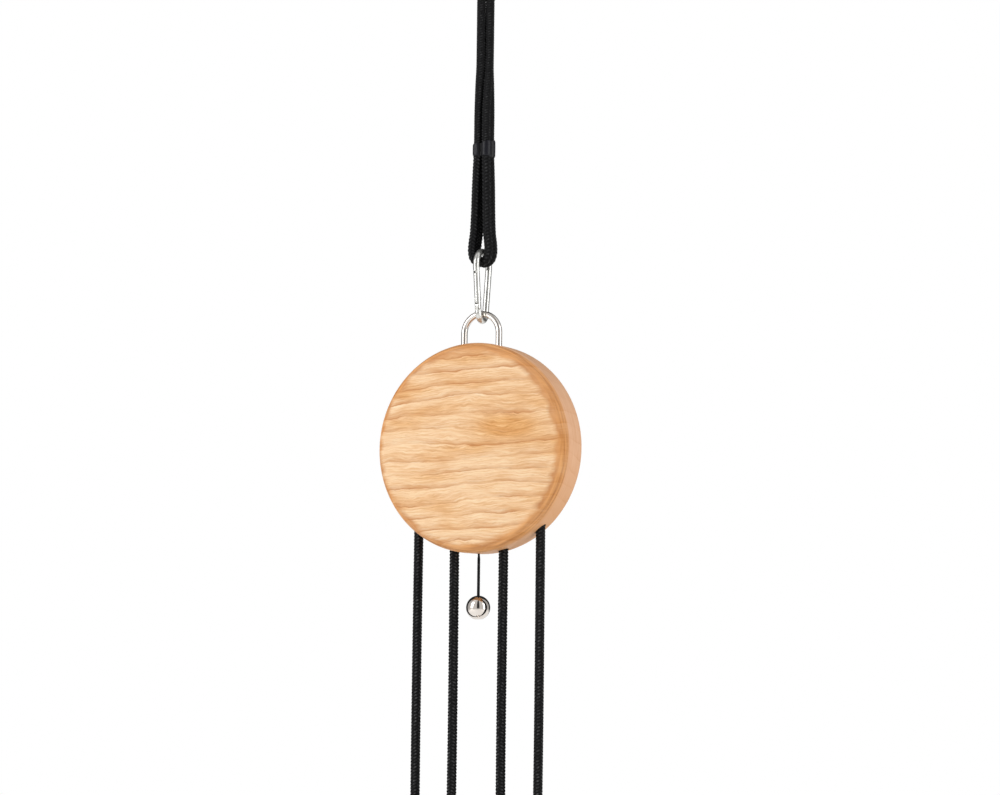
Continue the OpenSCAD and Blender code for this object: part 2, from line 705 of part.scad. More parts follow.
module brake_bush() color(nylon) at_disc() difference() {
    union() {
        translate([0, 0, bush_foot_z])
            cylinder(r = brake_rod_d / 2 + bush_wall, h = bush_flange_z - bush_foot_z);
        translate([0, 0, bush_flange_z])
            cylinder(r = brake_rod_d / 2 + bush_wall + 1.3, h = bush_flange_t);
    }
    translate([0, 0, bush_foot_z - 1]) cylinder(d = brake_rod_d + 2 * run_gap, h = 30);
}

spring_foot_z = bush_flange_z + bush_flange_t + spring_wire_r + 0.02;
spring_head_z = shoe_foot_z - spring_wire_r - 0.02;
function spring_coil(steps) = [
    for (k = [0:steps]) let (t = k / steps, a = 360 * spring_turns * t)
        [spring_r * cos(a), spring_r * sin(a), spring_foot_z + (spring_head_z - spring_foot_z) * t]
];
module brake_spring() color(steel) at_disc() tube(spring_coil(80), spring_wire_r, [0, 0, 1], 8);

module pull_cord() color(rope_black) at_disc() {
    translate(PULL_ROUTE[2]) cylinder(d = pull_cord_d, h = norm(PULL_ROUTE[0] - PULL_ROUTE[2]));
    translate([0, 0, rod_foot_z]) sphere(r = knob_r, $fn = 32);
}
module pull_ball() color(steel) at_disc() translate([0, 0, pull_ball_z]) difference() {
    sphere(d = pull_ball_d, $fn = 96);
    cylinder(d = pull_cord_d + 0.3, h = pull_ball_d, center = true, $fn = 32);
    translate([0, 0, -pull_ball_d]) cylinder(r = knot_r + 0.3, h = pull_ball_d - 4, $fn = 32);
}
module pull_knot() color(rope_black) at_disc() translate([0, 0, pull_ball_z - 4 - knot_r])
    sphere(r = knot_r - 0.01, $fn = 32);

// ---- Handles ----

// Places a handle's shape at its pulley, on the left (-1) or the right (1)
module at_handle(side) translate([side * pulley_x, 0, disc_z - handle_drop]) children();

module bracket() {
    difference() {
        for (s = [-1, 1]) translate([0, s * (bracket_in + bracket_t / 2), 0]) in_xz()
            linear_extrude(bracket_t, center = true) {
                circle(r = bracket_half_x);
                translate([-bracket_half_x, web_top - web_t])
                    square([2 * bracket_half_x, web_t - web_top]);
            }
        rotate([90, 0, 0]) cylinder(r = pulley_pin_r + seat_gap, h = 60, center = true);
    }
    difference() {
        translate([-ring_half_x - 4, -bracket_out, web_top - web_t])
            cube([2 * ring_half_x + 8, 2 * bracket_out, web_t]);
        for (s = [-1, 1]) translate([s * ring_half_x, 0, web_top - web_t - 1])
            cylinder(r = ring_wire_r + seat_gap, h = web_t + 2);
    }
}

module pulley_pin() in_xz() {
    cylinder(r = pulley_pin_r, h = 2 * bracket_out, center = true);
    for (s = [0, 1]) mirror([0, 0, s]) translate([0, 0, bracket_out])
        cylinder(r1 = pulley_pin_r + 2, r2 = pulley_pin_r + 0.8, h = 1.6);
}

module pulley() in_xz() rotate_extrude($fn = 96) difference() {
    translate([pulley_pin_r + run_gap, -pulley_half])
        square([pulley_r - pulley_pin_r - run_gap, handle_pulley_w]);
    translate([pulley_pitch_r, 0]) circle(r = groove_r);
}

module strap_ring() {
    leg_h = web_top - 0.1 - (ring_bar_z + ring_bend_r);
    for (s = [0, 1]) mirror([s, 0, 0]) {
        translate([ring_half_x, 0, ring_bar_z + ring_bend_r]) cylinder(r = ring_wire_r, h = leg_h, $fn = 32);
        translate([ring_half_x - ring_bend_r, 0, ring_bar_z + ring_bend_r]) in_xz()
            wire_arc(ring_bend_r, ring_wire_r, 270, 90);
    }
    translate([0, 0, ring_bar_z]) rotate([0, 90, 0])
        cylinder(r = ring_wire_r, h = 2 * (ring_half_x - ring_bend_r), center = true, $fn = 32);
}

module strap() {
    corners = [[strap_half_y, strap_foot_z], [0, ring_bar_z], [-strap_half_y, strap_foot_z]];
    in_yz() linear_extrude(strap_w, center = true) difference() {
        polygon(grown_triangle(corners, strap_in + strap_t));
        polygon(grown_triangle(corners, strap_in));
    }
}

module grip_sleeve() translate([0, 0, grip_z]) in_xz() difference() {
    union() {
        cylinder(r = sleeve_r, h = grip_l + 2 * sleeve_flange_t, center = true);
        for (s = [0, 1]) mirror([0, 0, s]) translate([0, 0, grip_l / 2 + 0.1])
            cylinder(r = sleeve_flange_r, h = sleeve_flange_t - 0.1);
    }
    cylinder(r = sleeve_bore_r, h = grip_l + 20, center = true);
}

module grip() translate([0, 0, grip_z]) in_xz() rotate_extrude($fn = 96) polygon(concat(
    [[sleeve_r + run_gap, grip_l / 2], [sleeve_r + run_gap, -grip_l / 2]],
    [for (k = [-8:8]) let (t = k / 8)
        [grip_d / 2 - grip_crown * t * t - (abs(k) == 8 ? 1.2 : 0), t * grip_l / 2]]
));

module left_bracket() color(steel) at_handle(-1) bracket();
module left_pulley_pin() color(steel) at_handle(-1) pulley_pin();
module left_pulley() color("dimgray") at_handle(-1) pulley();
module left_strap_ring() color(steel) at_handle(-1) strap_ring();
module left_strap() color(rope_black) at_handle(-1) strap();
module left_grip_sleeve() color("black") at_handle(-1) grip_sleeve();
module left_grip() color(wood) at_handle(-1) grip();
module right_bracket() color(steel) at_handle(1) bracket();
module right_pulley_pin() color(steel) at_handle(1) pulley_pin();
module right_pulley() color("dimgray") at_handle(1) pulley();
module right_strap_ring() color(steel) at_handle(1) strap_ring();
module right_strap() color(rope_black) at_handle(1) strap();
module right_grip_sleeve() color("black") at_handle(1) grip_sleeve();
module right_grip() color(wood) at_handle(1) grip();

ceiling_plate();
ceiling_eye();
sling_rope_front();
sling_rope_rear();
sling_band_lower();
sling_band_upper();
hook_body();
gate_pin();
hook_gate();
gate_rivet();
housing_cup();
rear_cover();
cover_screws();
suspension_bail();
yoke_block();
front_cheek();
rear_cheek();
cheek_screws();
cheek_wood_screws();
axle();
axle_clip();
axle_spacers();
bearing_inner_race();
rope_stops();
brake_bush();
rope_over_sheave();
left_rope();
right_rope();
sheave();
bearing_outer_race();
ball_cage();
bearing_balls();
brake_pad();
brake_shoe();
brake_rod();
brake_spring();
pull_cord();
pull_ball();
pull_knot();
left_bracket();
left_pulley_pin();
left_pulley();
left_strap_ring();
left_strap();
left_grip_sleeve();
left_grip();
right_bracket();
right_pulley_pin();
right_pulley();
right_strap_ring();
right_strap();
right_grip_sleeve();
right_grip();
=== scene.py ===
import json
import math

import bpy
import numpy as np
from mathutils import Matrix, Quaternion, Vector


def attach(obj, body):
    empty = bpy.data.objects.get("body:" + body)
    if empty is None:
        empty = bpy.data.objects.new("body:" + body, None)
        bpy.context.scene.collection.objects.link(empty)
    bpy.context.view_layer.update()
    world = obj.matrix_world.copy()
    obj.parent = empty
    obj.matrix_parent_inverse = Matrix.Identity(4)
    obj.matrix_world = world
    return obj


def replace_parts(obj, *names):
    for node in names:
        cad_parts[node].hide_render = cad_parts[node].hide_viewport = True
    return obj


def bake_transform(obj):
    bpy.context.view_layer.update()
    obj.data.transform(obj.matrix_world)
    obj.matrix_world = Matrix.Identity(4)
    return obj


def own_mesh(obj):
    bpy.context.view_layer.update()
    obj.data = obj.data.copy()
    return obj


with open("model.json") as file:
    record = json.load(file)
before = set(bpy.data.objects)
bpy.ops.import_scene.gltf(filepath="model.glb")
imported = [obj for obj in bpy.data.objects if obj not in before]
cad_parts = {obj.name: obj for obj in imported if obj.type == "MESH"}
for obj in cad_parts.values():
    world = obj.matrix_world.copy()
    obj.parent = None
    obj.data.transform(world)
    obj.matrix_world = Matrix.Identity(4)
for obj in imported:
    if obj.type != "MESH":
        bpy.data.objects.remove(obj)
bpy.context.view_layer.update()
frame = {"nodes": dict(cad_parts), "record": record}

# ---- Sizes and places in the shared frame: metres, and millimetres where a comment says so ----

MM = 0.001
DISC_Z = -0.46775  # height of the wooden disc's centre
ROPE_D = 0.008
SLING_D = 0.0075
PULL_D = 0.0022
PULL_FULL_Z = DISC_Z - 0.092  # below the brake rod's foot the pull cord swells to its full size
KNOB_Z = DISC_Z - 0.0885  # the pull cord's knob, in the brake rod's socket
KNOB_R = 0.0018
KNOT_Z = DISC_Z - 0.1428  # the pull cord's knot, under the ball
KNOT_R = 0.0027
SLING_TURN = 25  # degrees that the sling's bundle turns between its two bands
TURN_LOW_Z, TURN_HIGH_Z = -178, -130  # millimetres, like the routes
LOW_BAND_Z, HIGH_BAND_Z, BAND_H = -0.2082, -0.0697, 0.015
BUNDLE_HALF = 0.0039  # how far each sling rope is from the bundle's middle, along x and along y
HANDLE_X = 0.04035
HANDLE_Z = DISC_Z - 0.322

# A sling rope's route in millimetres, on the side x > 0: x, y towards the bundle's outside, z
SLING_LOWER = [
    (0, 4.3, -307.2), (5.3, 4.3, -305), (7.6, 4.3, -299), (7.4, 4.3, -291), (6.2, 4.2, -282),
    (5.4, 4.1, -264), (5, 4, -244), (4.4, 3.9, -227), (3.9, 3.9, -216),
]
SLING_UPPER = [
    (3.9, 3.9, -200), (3.9, 3.9, -178), (3.9, 3.9, -155), (3.9, 3.9, -135),
    (3.9, 3.9, -75), (3.9, 3.9, -61), (5.8, 3.9, -47), (8.2, 3.9, -33),
    (5.8, 3.9, -26.7), (0, 3.9, -24.3),
]
# Where the loop's two ends meet, inside the lower band
SLING_START = (-3.9, 3.9, -208.4)
SLING_END = (-3.9, 3.9, -208.1)

# The running rope's routes and the pull cord's, in millimetres from the disc's centre
RIGHT_ROUTE = [
    (23.2, 0, -61), (23.2, 0, -322), (25.5, 0, -330.6), (31.8, 0, -336.9), (40.4, 0, -339.2),
    (48.9, 0, -336.9), (55.2, 0, -330.6), (57.5, 0, -322), (57.5, 0, -4),
]
SHEAVE_ROUTE = [
    (57.5, 0, -4), (57.5, 0, 0), (55.5, 0, 15), (49.8, 0, 28.8), (40.7, 0, 40.7), (28.8, 0, 49.8),
    (15, 0, 55.5), (0, 0, 57.5), (-15, 0, 55.5), (-28.8, 0, 49.8), (-40.7, 0, 40.7),
    (-49.8, 0, 28.8), (-55.5, 0, 15), (-57.5, 0, 0), (-57.5, 0, -4),
]
PULL_ROUTE = [(0, 0, -89.1), (0, 0, -112), (0, 0, -140)]

# Camera: where it stands round the disc, and how far off the disc's centre it aims
CAMERA_AZIMUTH, CAMERA_ELEVATION, CAMERA_ROLL = 25, -4.7, 0.70
CAMERA_DISTANCE = 2.7
CAMERA_LENS_MM = 113.5
DISC_MIDDLE_Y = -0.002
AIM_RIGHT, AIM_UP = 0.0178, 0.0437


# ---- Camera ----

def round_object(azimuth, elevation):
    """Unit vector from the object to a place round it, in degrees; azimuth 0 is in front."""
    a, e = math.radians(azimuth), math.radians(elevation)
    return Vector((math.sin(a) * math.cos(e), -math.cos(a) * math.cos(e), math.sin(e)))


def make_camera():
    back = round_object(CAMERA_AZIMUTH, CAMERA_ELEVATION)
    camera = bpy.data.objects.new("camera", bpy.data.cameras.new("camera"))
    bpy.context.collection.objects.link(camera)
    camera.data.lens, camera.data.sensor_width = CAMERA_LENS_MM, 36
    turn = (-back).to_track_quat("-Z", "Y") @ Quaternion((0, 0, 1), math.radians(CAMERA_ROLL))
    right, up = turn @ Vector((1, 0, 0)), turn @ Vector((0, 1, 0))
    camera.rotation_mode, camera.rotation_quaternion = "QUATERNION", turn
    disc = Vector((0, DISC_MIDDLE_Y, DISC_Z))
    camera.location = disc + AIM_RIGHT * right + AIM_UP * up + CAMERA_DISTANCE * back
    bpy.context.scene.camera = camera


make_camera()


# ---- Mesh helpers ----

PLACES_PER_STRETCH = 24  # worked out along each stretch of a curve and round each corner
WIRE_SIDES = 12


def new_piece(name, points, faces):
    """An object with a smooth mesh, in the scene."""
    mesh = bpy.data.meshes.new(name)
    mesh.from_pydata([tuple(p) for p in points], [], faces)
    mesh.validate()
    mesh.shade_smooth()
    piece = bpy.data.objects.new(name, mesh)
    bpy.context.collection.objects.link(piece)
    return piece


def mark_crown(piece, crown):
    """Tells the material how far each point stands up, from 0 to 1; the materials paint shade where it is
    low.
    """
    raised = piece.data.attributes.new("crown", "FLOAT", "POINT")
    raised.data.foreach_set("value", crown.astype(np.float32))


def spaced_evenly(line, step, closed=False):
    """The same line with its places `step` apart, and its length."""
    along = np.append(0, np.cumsum(np.linalg.norm(np.diff(line, axis=0), axis=1)))
    steps = round(along[-1] / step)
    at = np.linspace(0, along[-1], steps if closed else max(2, steps + 1), endpoint=not closed)
    return np.column_stack([np.interp(at, along, column) for column in line.T]), along[-1]


def curve_through(points, step):
    """Smooth curve through points in millimetres, with its places `step` metres apart along it."""
    p = np.array(points, float) * MM
    heading = np.vstack([p[1] - p[0], p[2:] - p[:-2], p[-1] - p[-2]])
    heading /= np.linalg.norm(heading, axis=1)[:, None]
    t = np.linspace(0, 1, PLACES_PER_STRETCH, endpoint=False)[:, None]
    line = []
    for a, b, ha, hb in zip(p[:-1], p[1:], heading[:-1], heading[1:]):
        chord = np.linalg.norm(b - a)
        line.append(
            (2 * t**3 - 3 * t**2 + 1) * a + (t**3 - 2 * t**2 + t) * chord * ha
            + (3 * t**2 - 2 * t**3) * b + (t**3 - t**2) * chord * hb
        )
    return spaced_evenly(np.vstack(line + [p[-1:]]), step)[0]


def carried_frames(line, first_side):
    """Two unit vectors across the line at each of its places, carried along without twist."""
    ahead = np.gradient(line, axis=0)
    ahead /= np.linalg.norm(ahead, axis=1)[:, None]
    u = np.array(first_side, float)
    us = []
    for t in ahead:
        u = u - t * (u @ t)
        u /= np.linalg.norm(u)
        us.append(u)
    us = np.array(us)
    return us, np.cross(ahead, us)


def walls(rings, sides, closed=False):
    """Quads between rings of points. When closed, the last ring meets the first."""
    return [
        (i * sides + k, i * sides + (k + 1) % sides,
         (i + 1) % rings * sides + (k + 1) % sides, (i + 1) % rings * sides + k)
        for i in range(rings if closed else rings - 1) for k in range(sides)
    ]


def tube_faces(rings, sides):
    """The walls of a tube, and a face over each end."""
    last = (rings - 1) * sides
    return walls(rings, sides) + [tuple(range(sides))[::-1], tuple(range(last, last + sides))]


def swept_wire(name, line, first_side, radius):
    """A round wire of one thickness along a line."""
    u, v = carried_frames(line, first_side)
    angle = np.linspace(0, 2 * math.pi, WIRE_SIDES, endpoint=False)[:, None]
    points = line[:, None] + radius * (np.cos(angle) * u[:, None] + np.sin(angle) * v[:, None])
    return new_piece(name, points.reshape(-1, 3), tube_faces(len(line), WIRE_SIDES))


# ---- Ropes ----

BRAID_STRANDS = 6  # in each direction
BRAID_SIDES = 48
BRAID_STEP = 0.0005
BRAID_TURNED = 0.42  # of a strand, so that a column of chevrons faces the front
# A pitch is how far a strand rises from one crossing to the next, a relief how deep the gaps are
ROPE_PITCH, ROPE_RELIEF = 0.0028, 0.0009
ROPE_SWELL = 0.0003  # added to the radius, because the gaps make a rope look thinner
SLING_RELIEF = 0.0008
PULL_PITCH, PULL_RELIEF = 0.0012, 0.0002

# Between its bands the sling's braid is fine and its ropes press on each other
PRESSED = [(-216, 1.0), (-200, 0.95), (-82, 0.95), (-66, 1.0)]  # height in millimetres, share
SLING_RADII = [(-0.216, 0.0041), (-0.082, 0.00405), (-0.066, SLING_D / 2)]
SLING_PITCHES = [(-0.216, 0.0030), (-0.200, 0.0023)]
PULL_RADII = [(PULL_FULL_Z - 0.002, PULL_D / 2 + 0.0002), (PULL_FULL_Z, PULL_D / 2 - 0.0001)]

ROPES = []


def braid_crown(turn_a, turn_b):
    """How far a strand stands up, 0 to 1, in a braid where each passes over two and under two."""
    cell = (np.floor(turn_a) + np.floor(turn_b)) % 4
    part_a, part_b = turn_a % 1, turn_b % 1
    on_top = cell < 2
    along = np.where(on_top, (cell + part_b) / 2, (cell - 2 + part_a) / 2)
    across = np.where(on_top, part_a, part_b)
    return (1 - (2 * across - 1) ** 2) ** 0.6 * np.sin(math.pi * along) ** 0.5


def at_height(z, values):
    """The value at each height, from a list of (height, value) that rises."""
    heights, found = zip(*values)
    return np.interp(z, heights, found)


def braided_rope(name, route, radii, pitches, relief):
    """A braided rope along a route, and its centreline. A strand rises one pitch at each crossing."""
    line = curve_through(route, BRAID_STEP)
    u, v = carried_frames(line, (0, 1, 0))
    angle = np.linspace(0, 2 * math.pi, BRAID_SIDES, endpoint=False)
    round_turns = BRAID_STRANDS * angle / (2 * math.pi) + BRAID_TURNED
    rise = np.cumsum(BRAID_STEP / at_height(line[:, 2], pitches))[:, None]
    crown = braid_crown(round_turns + rise, round_turns - rise)
    radius = at_height(line[:, 2], radii)[:, None] - relief * (1 - crown)
    points = line[:, None] + radius[..., None] * (
        np.cos(angle)[:, None] * u[:, None] + np.sin(angle)[:, None] * v[:, None]
    )
    rope = new_piece(name, points.reshape(-1, 3), tube_faces(len(line), BRAID_SIDES))
    mark_crown(rope, crown.ravel())
    return rope, line


def declare(rope, line):
    """Puts a rope in the list of ropes; its length and its points are worked out but not used."""
    length = float(np.linalg.norm(np.diff(line, axis=0), axis=1).sum())
    tuple(line[0])
    [tuple(p) for p in line]
    ROPES.append(rope)


def at_disc(route, mirror=1):
    """A route from the disc's centre, moved to its place in the frame; mirror -1 is the left side."""
    return [(mirror * x, y, z + DISC_Z / MM) for x, y, z in route]


def turned(point):
    """A sling point, pressed inwards and turned about z as far as the bundle is at its height."""
    x, y, z = point
    x, y = (at_height(z, PRESSED) * place for place in (x, y))
    t = min(1, max(0, (z - TURN_LOW_Z) / (TURN_HIGH_Z - TURN_LOW_Z)))
    a = math.radians(SLING_TURN) * t * t * (3 - 2 * t)
    return (x * math.cos(a) - y * math.sin(a), x * math.sin(a) + y * math.cos(a), z)


def sling_route(front):
    """The closed route of one sling rope, from the lower band round the hook and the eye."""
    def other_side(points):
        return [(-x, y, z) for x, y, z in points]

    route = (
        [SLING_START] + other_side(SLING_LOWER)[::-1] + SLING_LOWER[1:] + SLING_UPPER
        + other_side(SLING_UPPER)[-2::-1] + [SLING_END]
    )
    return [turned((x, -y if front else y, z)) for x, y, z in route]


def make_sling():
    for name, front in (("sling_rope_front", True), ("sling_rope_rear", False)):
        route = sling_route(front)
        rope, line = braided_rope("braided_" + name, route, SLING_RADII, SLING_PITCHES, SLING_RELIEF)
        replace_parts(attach(rope, "sling"), name)
        declare(rope, line)


def make_running_rope():
    make_up = [(0, ROPE_D / 2 + ROPE_SWELL)], [(0, ROPE_PITCH)], ROPE_RELIEF
    rope, line = braided_rope("braided_rope_over_sheave", at_disc(SHEAVE_ROUTE), *make_up)
    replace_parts(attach(rope, "housing"), "rope_over_sheave")
    declare(rope, line)
    for side, mirror in (("left", -1), ("right", 1)):
        rope, line = braided_rope(f"braided_{side}_rope", at_disc(RIGHT_ROUTE, mirror), *make_up)
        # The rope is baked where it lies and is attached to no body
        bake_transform(rope)
        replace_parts(rope, f"{side}_rope")
        declare(rope, line)


KNOT_WINDS, KNOT_PLACES = 3, 160
KNOB_STRAND, KNOT_STRAND = 0.0013, 0.0019  # thickness of the strand that each is wound from


def tied_knot(name, z, radius, thickness):
    """An overhand knot drawn up tight: one strand wound round itself into a small ball."""
    t = np.linspace(0, 1, KNOT_PLACES)
    a = 2 * math.pi * KNOT_WINDS * t
    lean = 2 * math.pi * (KNOT_WINDS + 1) * t
    reach = radius - thickness / 2
    line = np.column_stack([
        np.cos(a) * reach * (0.62 + 0.38 * np.cos(lean)),
        np.sin(a) * reach * (0.62 + 0.38 * np.cos(lean)),
        0.8 * reach * np.sin(lean),
    ]) + np.array((0, 0, z))
    knot = swept_wire(name, line, (0.3, 0.2, 1), thickness / 2)
    ROPES.append(knot)
    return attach(knot, "pull")


def make_pull_cord():
    route = at_disc(PULL_ROUTE)
    cord, line = braided_rope("braided_pull_cord", route, PULL_RADII, [(0, PULL_PITCH)], PULL_RELIEF)
    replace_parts(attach(cord, "pull"), "pull_cord")
    knob = tied_knot("pull_cord_knob", KNOB_Z, KNOB_R, KNOB_STRAND)
    knot = tied_knot("tied_pull_knot", KNOT_Z, KNOT_R, KNOT_STRAND)
    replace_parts(knot, "pull_knot")
    declare(cord, line)


# ---- Brake spring, with its foot on the bush, attached to the housing ----

SPRING_FOOT_Z, SPRING_H = DISC_Z - 0.07318, 0.00781  # over the ends of its wire
SPRING_R, SPRING_WIRE_R, SPRING_TURNS, SPRING_PLACES = 0.003, 0.0004, 4, 121


def make_spring():
    t = np.linspace(0, 1, SPRING_PLACES)
    a = 2 * math.pi * SPRING_TURNS * t
    rise = SPRING_WIRE_R + (SPRING_H - 2 * SPRING_WIRE_R) * t
    line = np.column_stack([SPRING_R * np.cos(a), SPRING_R * np.sin(a), SPRING_FOOT_Z + rise])
    spring = swept_wire("coiled_brake_spring", line, (0, 0, 1), SPRING_WIRE_R)
    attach(spring, "housing")
    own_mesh(spring)
    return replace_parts(spring, "brake_spring")


SPRING = make_spring()
make_sling()
make_running_rope()
make_pull_cord()


# ---- Shrunk bands round the sling ----

BAND_WALL = 0.00055
BAND_INSIDE = 0.0040  # radius that the skin keeps round each rope
BAND_SINK = 0.0017  # how far the skin sinks between two ropes
BAND_TILT = (-0.0004, 0.0020)  # how much higher the foot and the top edge are on the right
BAND_SIDES, BAND_ROWS = 144, 30


def bundle_reach(angle, radius):
    """How far out a skin over the four sling ropes lies, at angles round the bundle."""
    across, up = np.abs(np.cos(angle)), np.abs(np.sin(angle))
    long, short = np.maximum(across, up), np.minimum(across, up)
    flat = (BUNDLE_HALF + radius) / long
    near = BUNDLE_HALF * (long + short)
    on_rope = near + np.sqrt(np.maximum(radius**2 - 2 * BUNDLE_HALF**2 + near**2, 0))
    return np.where(flat * short <= BUNDLE_HALF, flat, on_rope)


def make_band(name, middle_z, turn):
    """A shrunk sleeve: it sinks between the ropes, its edges are drawn in, and its top edge leans."""
    angle = np.linspace(0, 2 * math.pi, BAND_SIDES, endpoint=False)
    around = angle + math.radians(turn)
    between = (0.5 + 0.5 * np.cos(4 * angle)) ** 4
    crease = 0.00012 * np.sin(11 * angle + 2) + 0.00007 * np.sin(23 * angle + 1)
    inside = bundle_reach(angle, BAND_INSIDE) - BAND_SINK * between
    outside = bundle_reach(angle, BAND_INSIDE + BAND_WALL) - BAND_SINK * between
    to_right = np.cos(around - math.radians(CAMERA_AZIMUTH))
    foot = middle_z - BAND_H / 2 * (0.94 + 0.05 * between) + BAND_TILT[0] * to_right
    top = middle_z + BAND_H / 2 * (0.74 - 0.05 * between) + BAND_TILT[1] * to_right
    rings = []
    for t in np.linspace(0, 1, BAND_ROWS):
        edge = max(0, 1 - 9 * min(t, 1 - t))
        reach = outside - 0.8 * BAND_WALL * edge**2 + crease * math.sin(math.pi * t)
        rings.append((reach, foot + (top - foot) * t))
    rings += [(inside, top), (inside, foot)]
    points = np.vstack([np.column_stack([r * np.cos(around), r * np.sin(around), z]) for r, z in rings])
    band = new_piece("shrunk_" + name, points, walls(len(rings), BAND_SIDES, closed=True))
    # From this the band's material paints shade in the sinks between the ropes
    mark_crown(band, np.tile(1 - between, len(rings)))
    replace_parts(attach(band, "sling"), name)
    return band


BANDS = [
    make_band("sling_band_lower", LOW_BAND_Z, 0),
    make_band("sling_band_upper", HIGH_BAND_Z, SLING_TURN),
]


# ---- Webbing straps of the handles ----

STRAP_W, STRAP_T = 0.020, 0.002
STRAP_OFFSET = 0.0035  # from the strap's middle line to the triangle's corners
STRAP_HALF_Y = 0.071  # corners of the triangle, from the handle pulley's middle
STRAP_RING_Z = -0.040
STRAP_FOOT_Z = -0.128
WEAVE_RIB, WEAVE_DEPTH = 0.0016, 0.00022
PLACES_PER_RIB = 5


def strap_line(offset):
    """The closed loop round the three corners in the y-z plane, evenly spaced, and its length."""
    corners = [(0, STRAP_RING_Z), (-STRAP_HALF_Y, STRAP_FOOT_Z), (STRAP_HALF_Y, STRAP_FOOT_Z)]
    outline = []
    for k in range(3):
        before, here, after = (np.array(corners[(k + j) % 3]) for j in (-1, 0, 1))
        starts, ends = (math.atan2(-(b - a)[0], (b - a)[1]) for a, b in ((before, here), (here, after)))
        turn = (ends - starts) % (2 * math.pi)
        for a in np.linspace(starts, starts + turn, PLACES_PER_STRETCH):
            outline.append(here + offset * np.array([math.cos(a), math.sin(a)]))
    return spaced_evenly(np.array(outline + outline[:1]), WEAVE_RIB / PLACES_PER_RIB, closed=True)


def make_strap(side, x):
    """A woven strap: ribs in herringbone columns across a flat band with rounded selvages."""
    line, length = strap_line(STRAP_OFFSET)
    n = len(line)
    ahead = np.roll(line, -1, axis=0) - np.roll(line, 1, axis=0)
    ahead /= np.linalg.norm(ahead, axis=1)[:, None]
    out = np.column_stack([ahead[:, 1], -ahead[:, 0]])
    run = np.arange(n) / n * round(length / WEAVE_RIB)  # in ribs
    across = np.linspace(-1, 1, 25)
    section = [(a, 1) for a in across] + [(a, -1) for a in across[::-1]]
    points = []
    for a, face in section:
        selvage = math.sqrt(max(0, 1 - max(0, (abs(a) - 0.9) / 0.1) ** 2))
        column = 2 * abs(a * 3 % 1 - 0.5)
        rib = 0.5 + 0.5 * np.cos(2 * math.pi * (run + column))
        half = STRAP_T / 2 * (0.35 + 0.65 * selvage) - WEAVE_DEPTH * (1 - rib) * selvage
        place = line + face * half[:, None] * out
        side_x = np.full(n, x + a * STRAP_W / 2)
        points.append(np.column_stack([side_x, place[:, 0], place[:, 1] + HANDLE_Z]))
    strap = new_piece(f"woven_{side}_strap", np.vstack(points), walls(len(section), n, closed=True))
    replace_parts(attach(strap, f"{side}_handle"), f"{side}_strap")
    return strap


STRAPS = [make_strap("left", -HANDLE_X), make_strap("right", HANDLE_X)]


# ---- Materials ----

def linear(r, g, b):
    """A colour as nodes take it, from 0 to 255 sRGB values."""
    return tuple(
        (c / 12.92 if c <= 0.04045 else ((c + 0.055) / 1.055) ** 2.4) for c in (r / 255, g / 255, b / 255)
    ) + (1,)


class Nodes:
    """Builds nodes in a tree. A value may be a number, a colour or another node's output."""

    def __init__(self, tree):
        self.tree = tree

    def new(self, kind):
        return self.tree.nodes.new("ShaderNode" + kind)

    def put(self, socket, value):
        if isinstance(value, bpy.types.NodeSocket):
            self.tree.links.new(value, socket)
        else:
            socket.default_value = value

    def set(self, node, **sets):
        for name, value in sets.items():
            self.put(node.inputs[name.replace("_", " ")], value)

    def math(self, operation, a, b=0.0, c=0.0, clamp=False):
        node = self.new("Math")
        node.operation, node.use_clamp = operation, clamp
        for socket, value in zip(node.inputs, (a, b, c)):
            self.put(socket, value)
        return node.outputs[0]

    def split(self, vector):
        node = self.new("SeparateXYZ")
        self.put(node.inputs[0], vector)
        return node.outputs[:3]

    def ramp(self, value, stops):
        node = self.new("ValToRGB")
        self.put(node.inputs[0], value)
        steps = node.color_ramp.elements
        while len(steps) < len(stops):
            steps.new(0.5)
        for step, (place, colour) in zip(steps, stops):
            step.position = place
            step.color = colour if hasattr(colour, "__len__") else (colour, colour, colour, 1)
        return node.outputs[0]

    def mix(self, share, a, b):
        node = self.new("Mix")
        node.data_type = "RGBA"
        for socket, value in ((node.inputs[0], share), (node.inputs[6], a), (node.inputs[7], b)):
            self.put(socket, value)
        return node.outputs[2]


